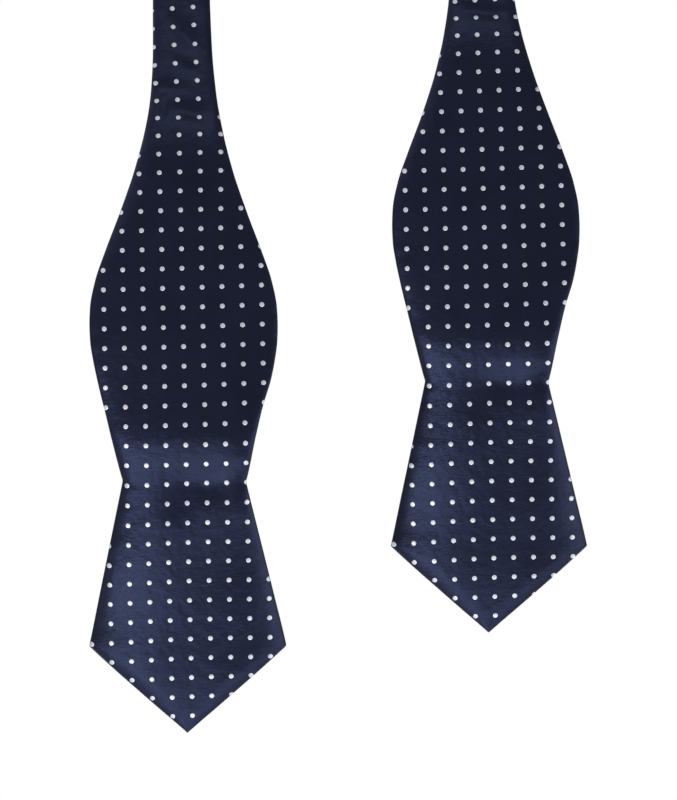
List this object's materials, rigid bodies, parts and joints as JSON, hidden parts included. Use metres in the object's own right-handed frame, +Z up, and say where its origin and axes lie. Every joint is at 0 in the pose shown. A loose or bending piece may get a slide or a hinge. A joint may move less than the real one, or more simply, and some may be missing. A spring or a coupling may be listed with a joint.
{
  "type": "diamond point bow tie",
  "caption": "Untied self-tie bow tie with pointed diamond ends, hung round a neck: padded satin strips joined at the nape by a small metal ring.",
  "frame": {"origin": "middle of the nape stretch, on the band's side that rests on the neck", "axes": "-Y the way the wearer faces, +Z up, the longer hanging end towards -X and the shorter one towards +X"},
  "size_m": [0.1607, 0.1568, 0.3741],
  "materials": {
    "satin": "navy satin with small woven off-white dots",
    "ring_metal": "polished"
  },
  "bodies": {
    "root": {"long_half_front": "satin", "long_half_back": "satin", "short_half_front": "satin", "short_half_back": "satin", "band_ring": "ring_metal"}
  },
  "joints": []
}
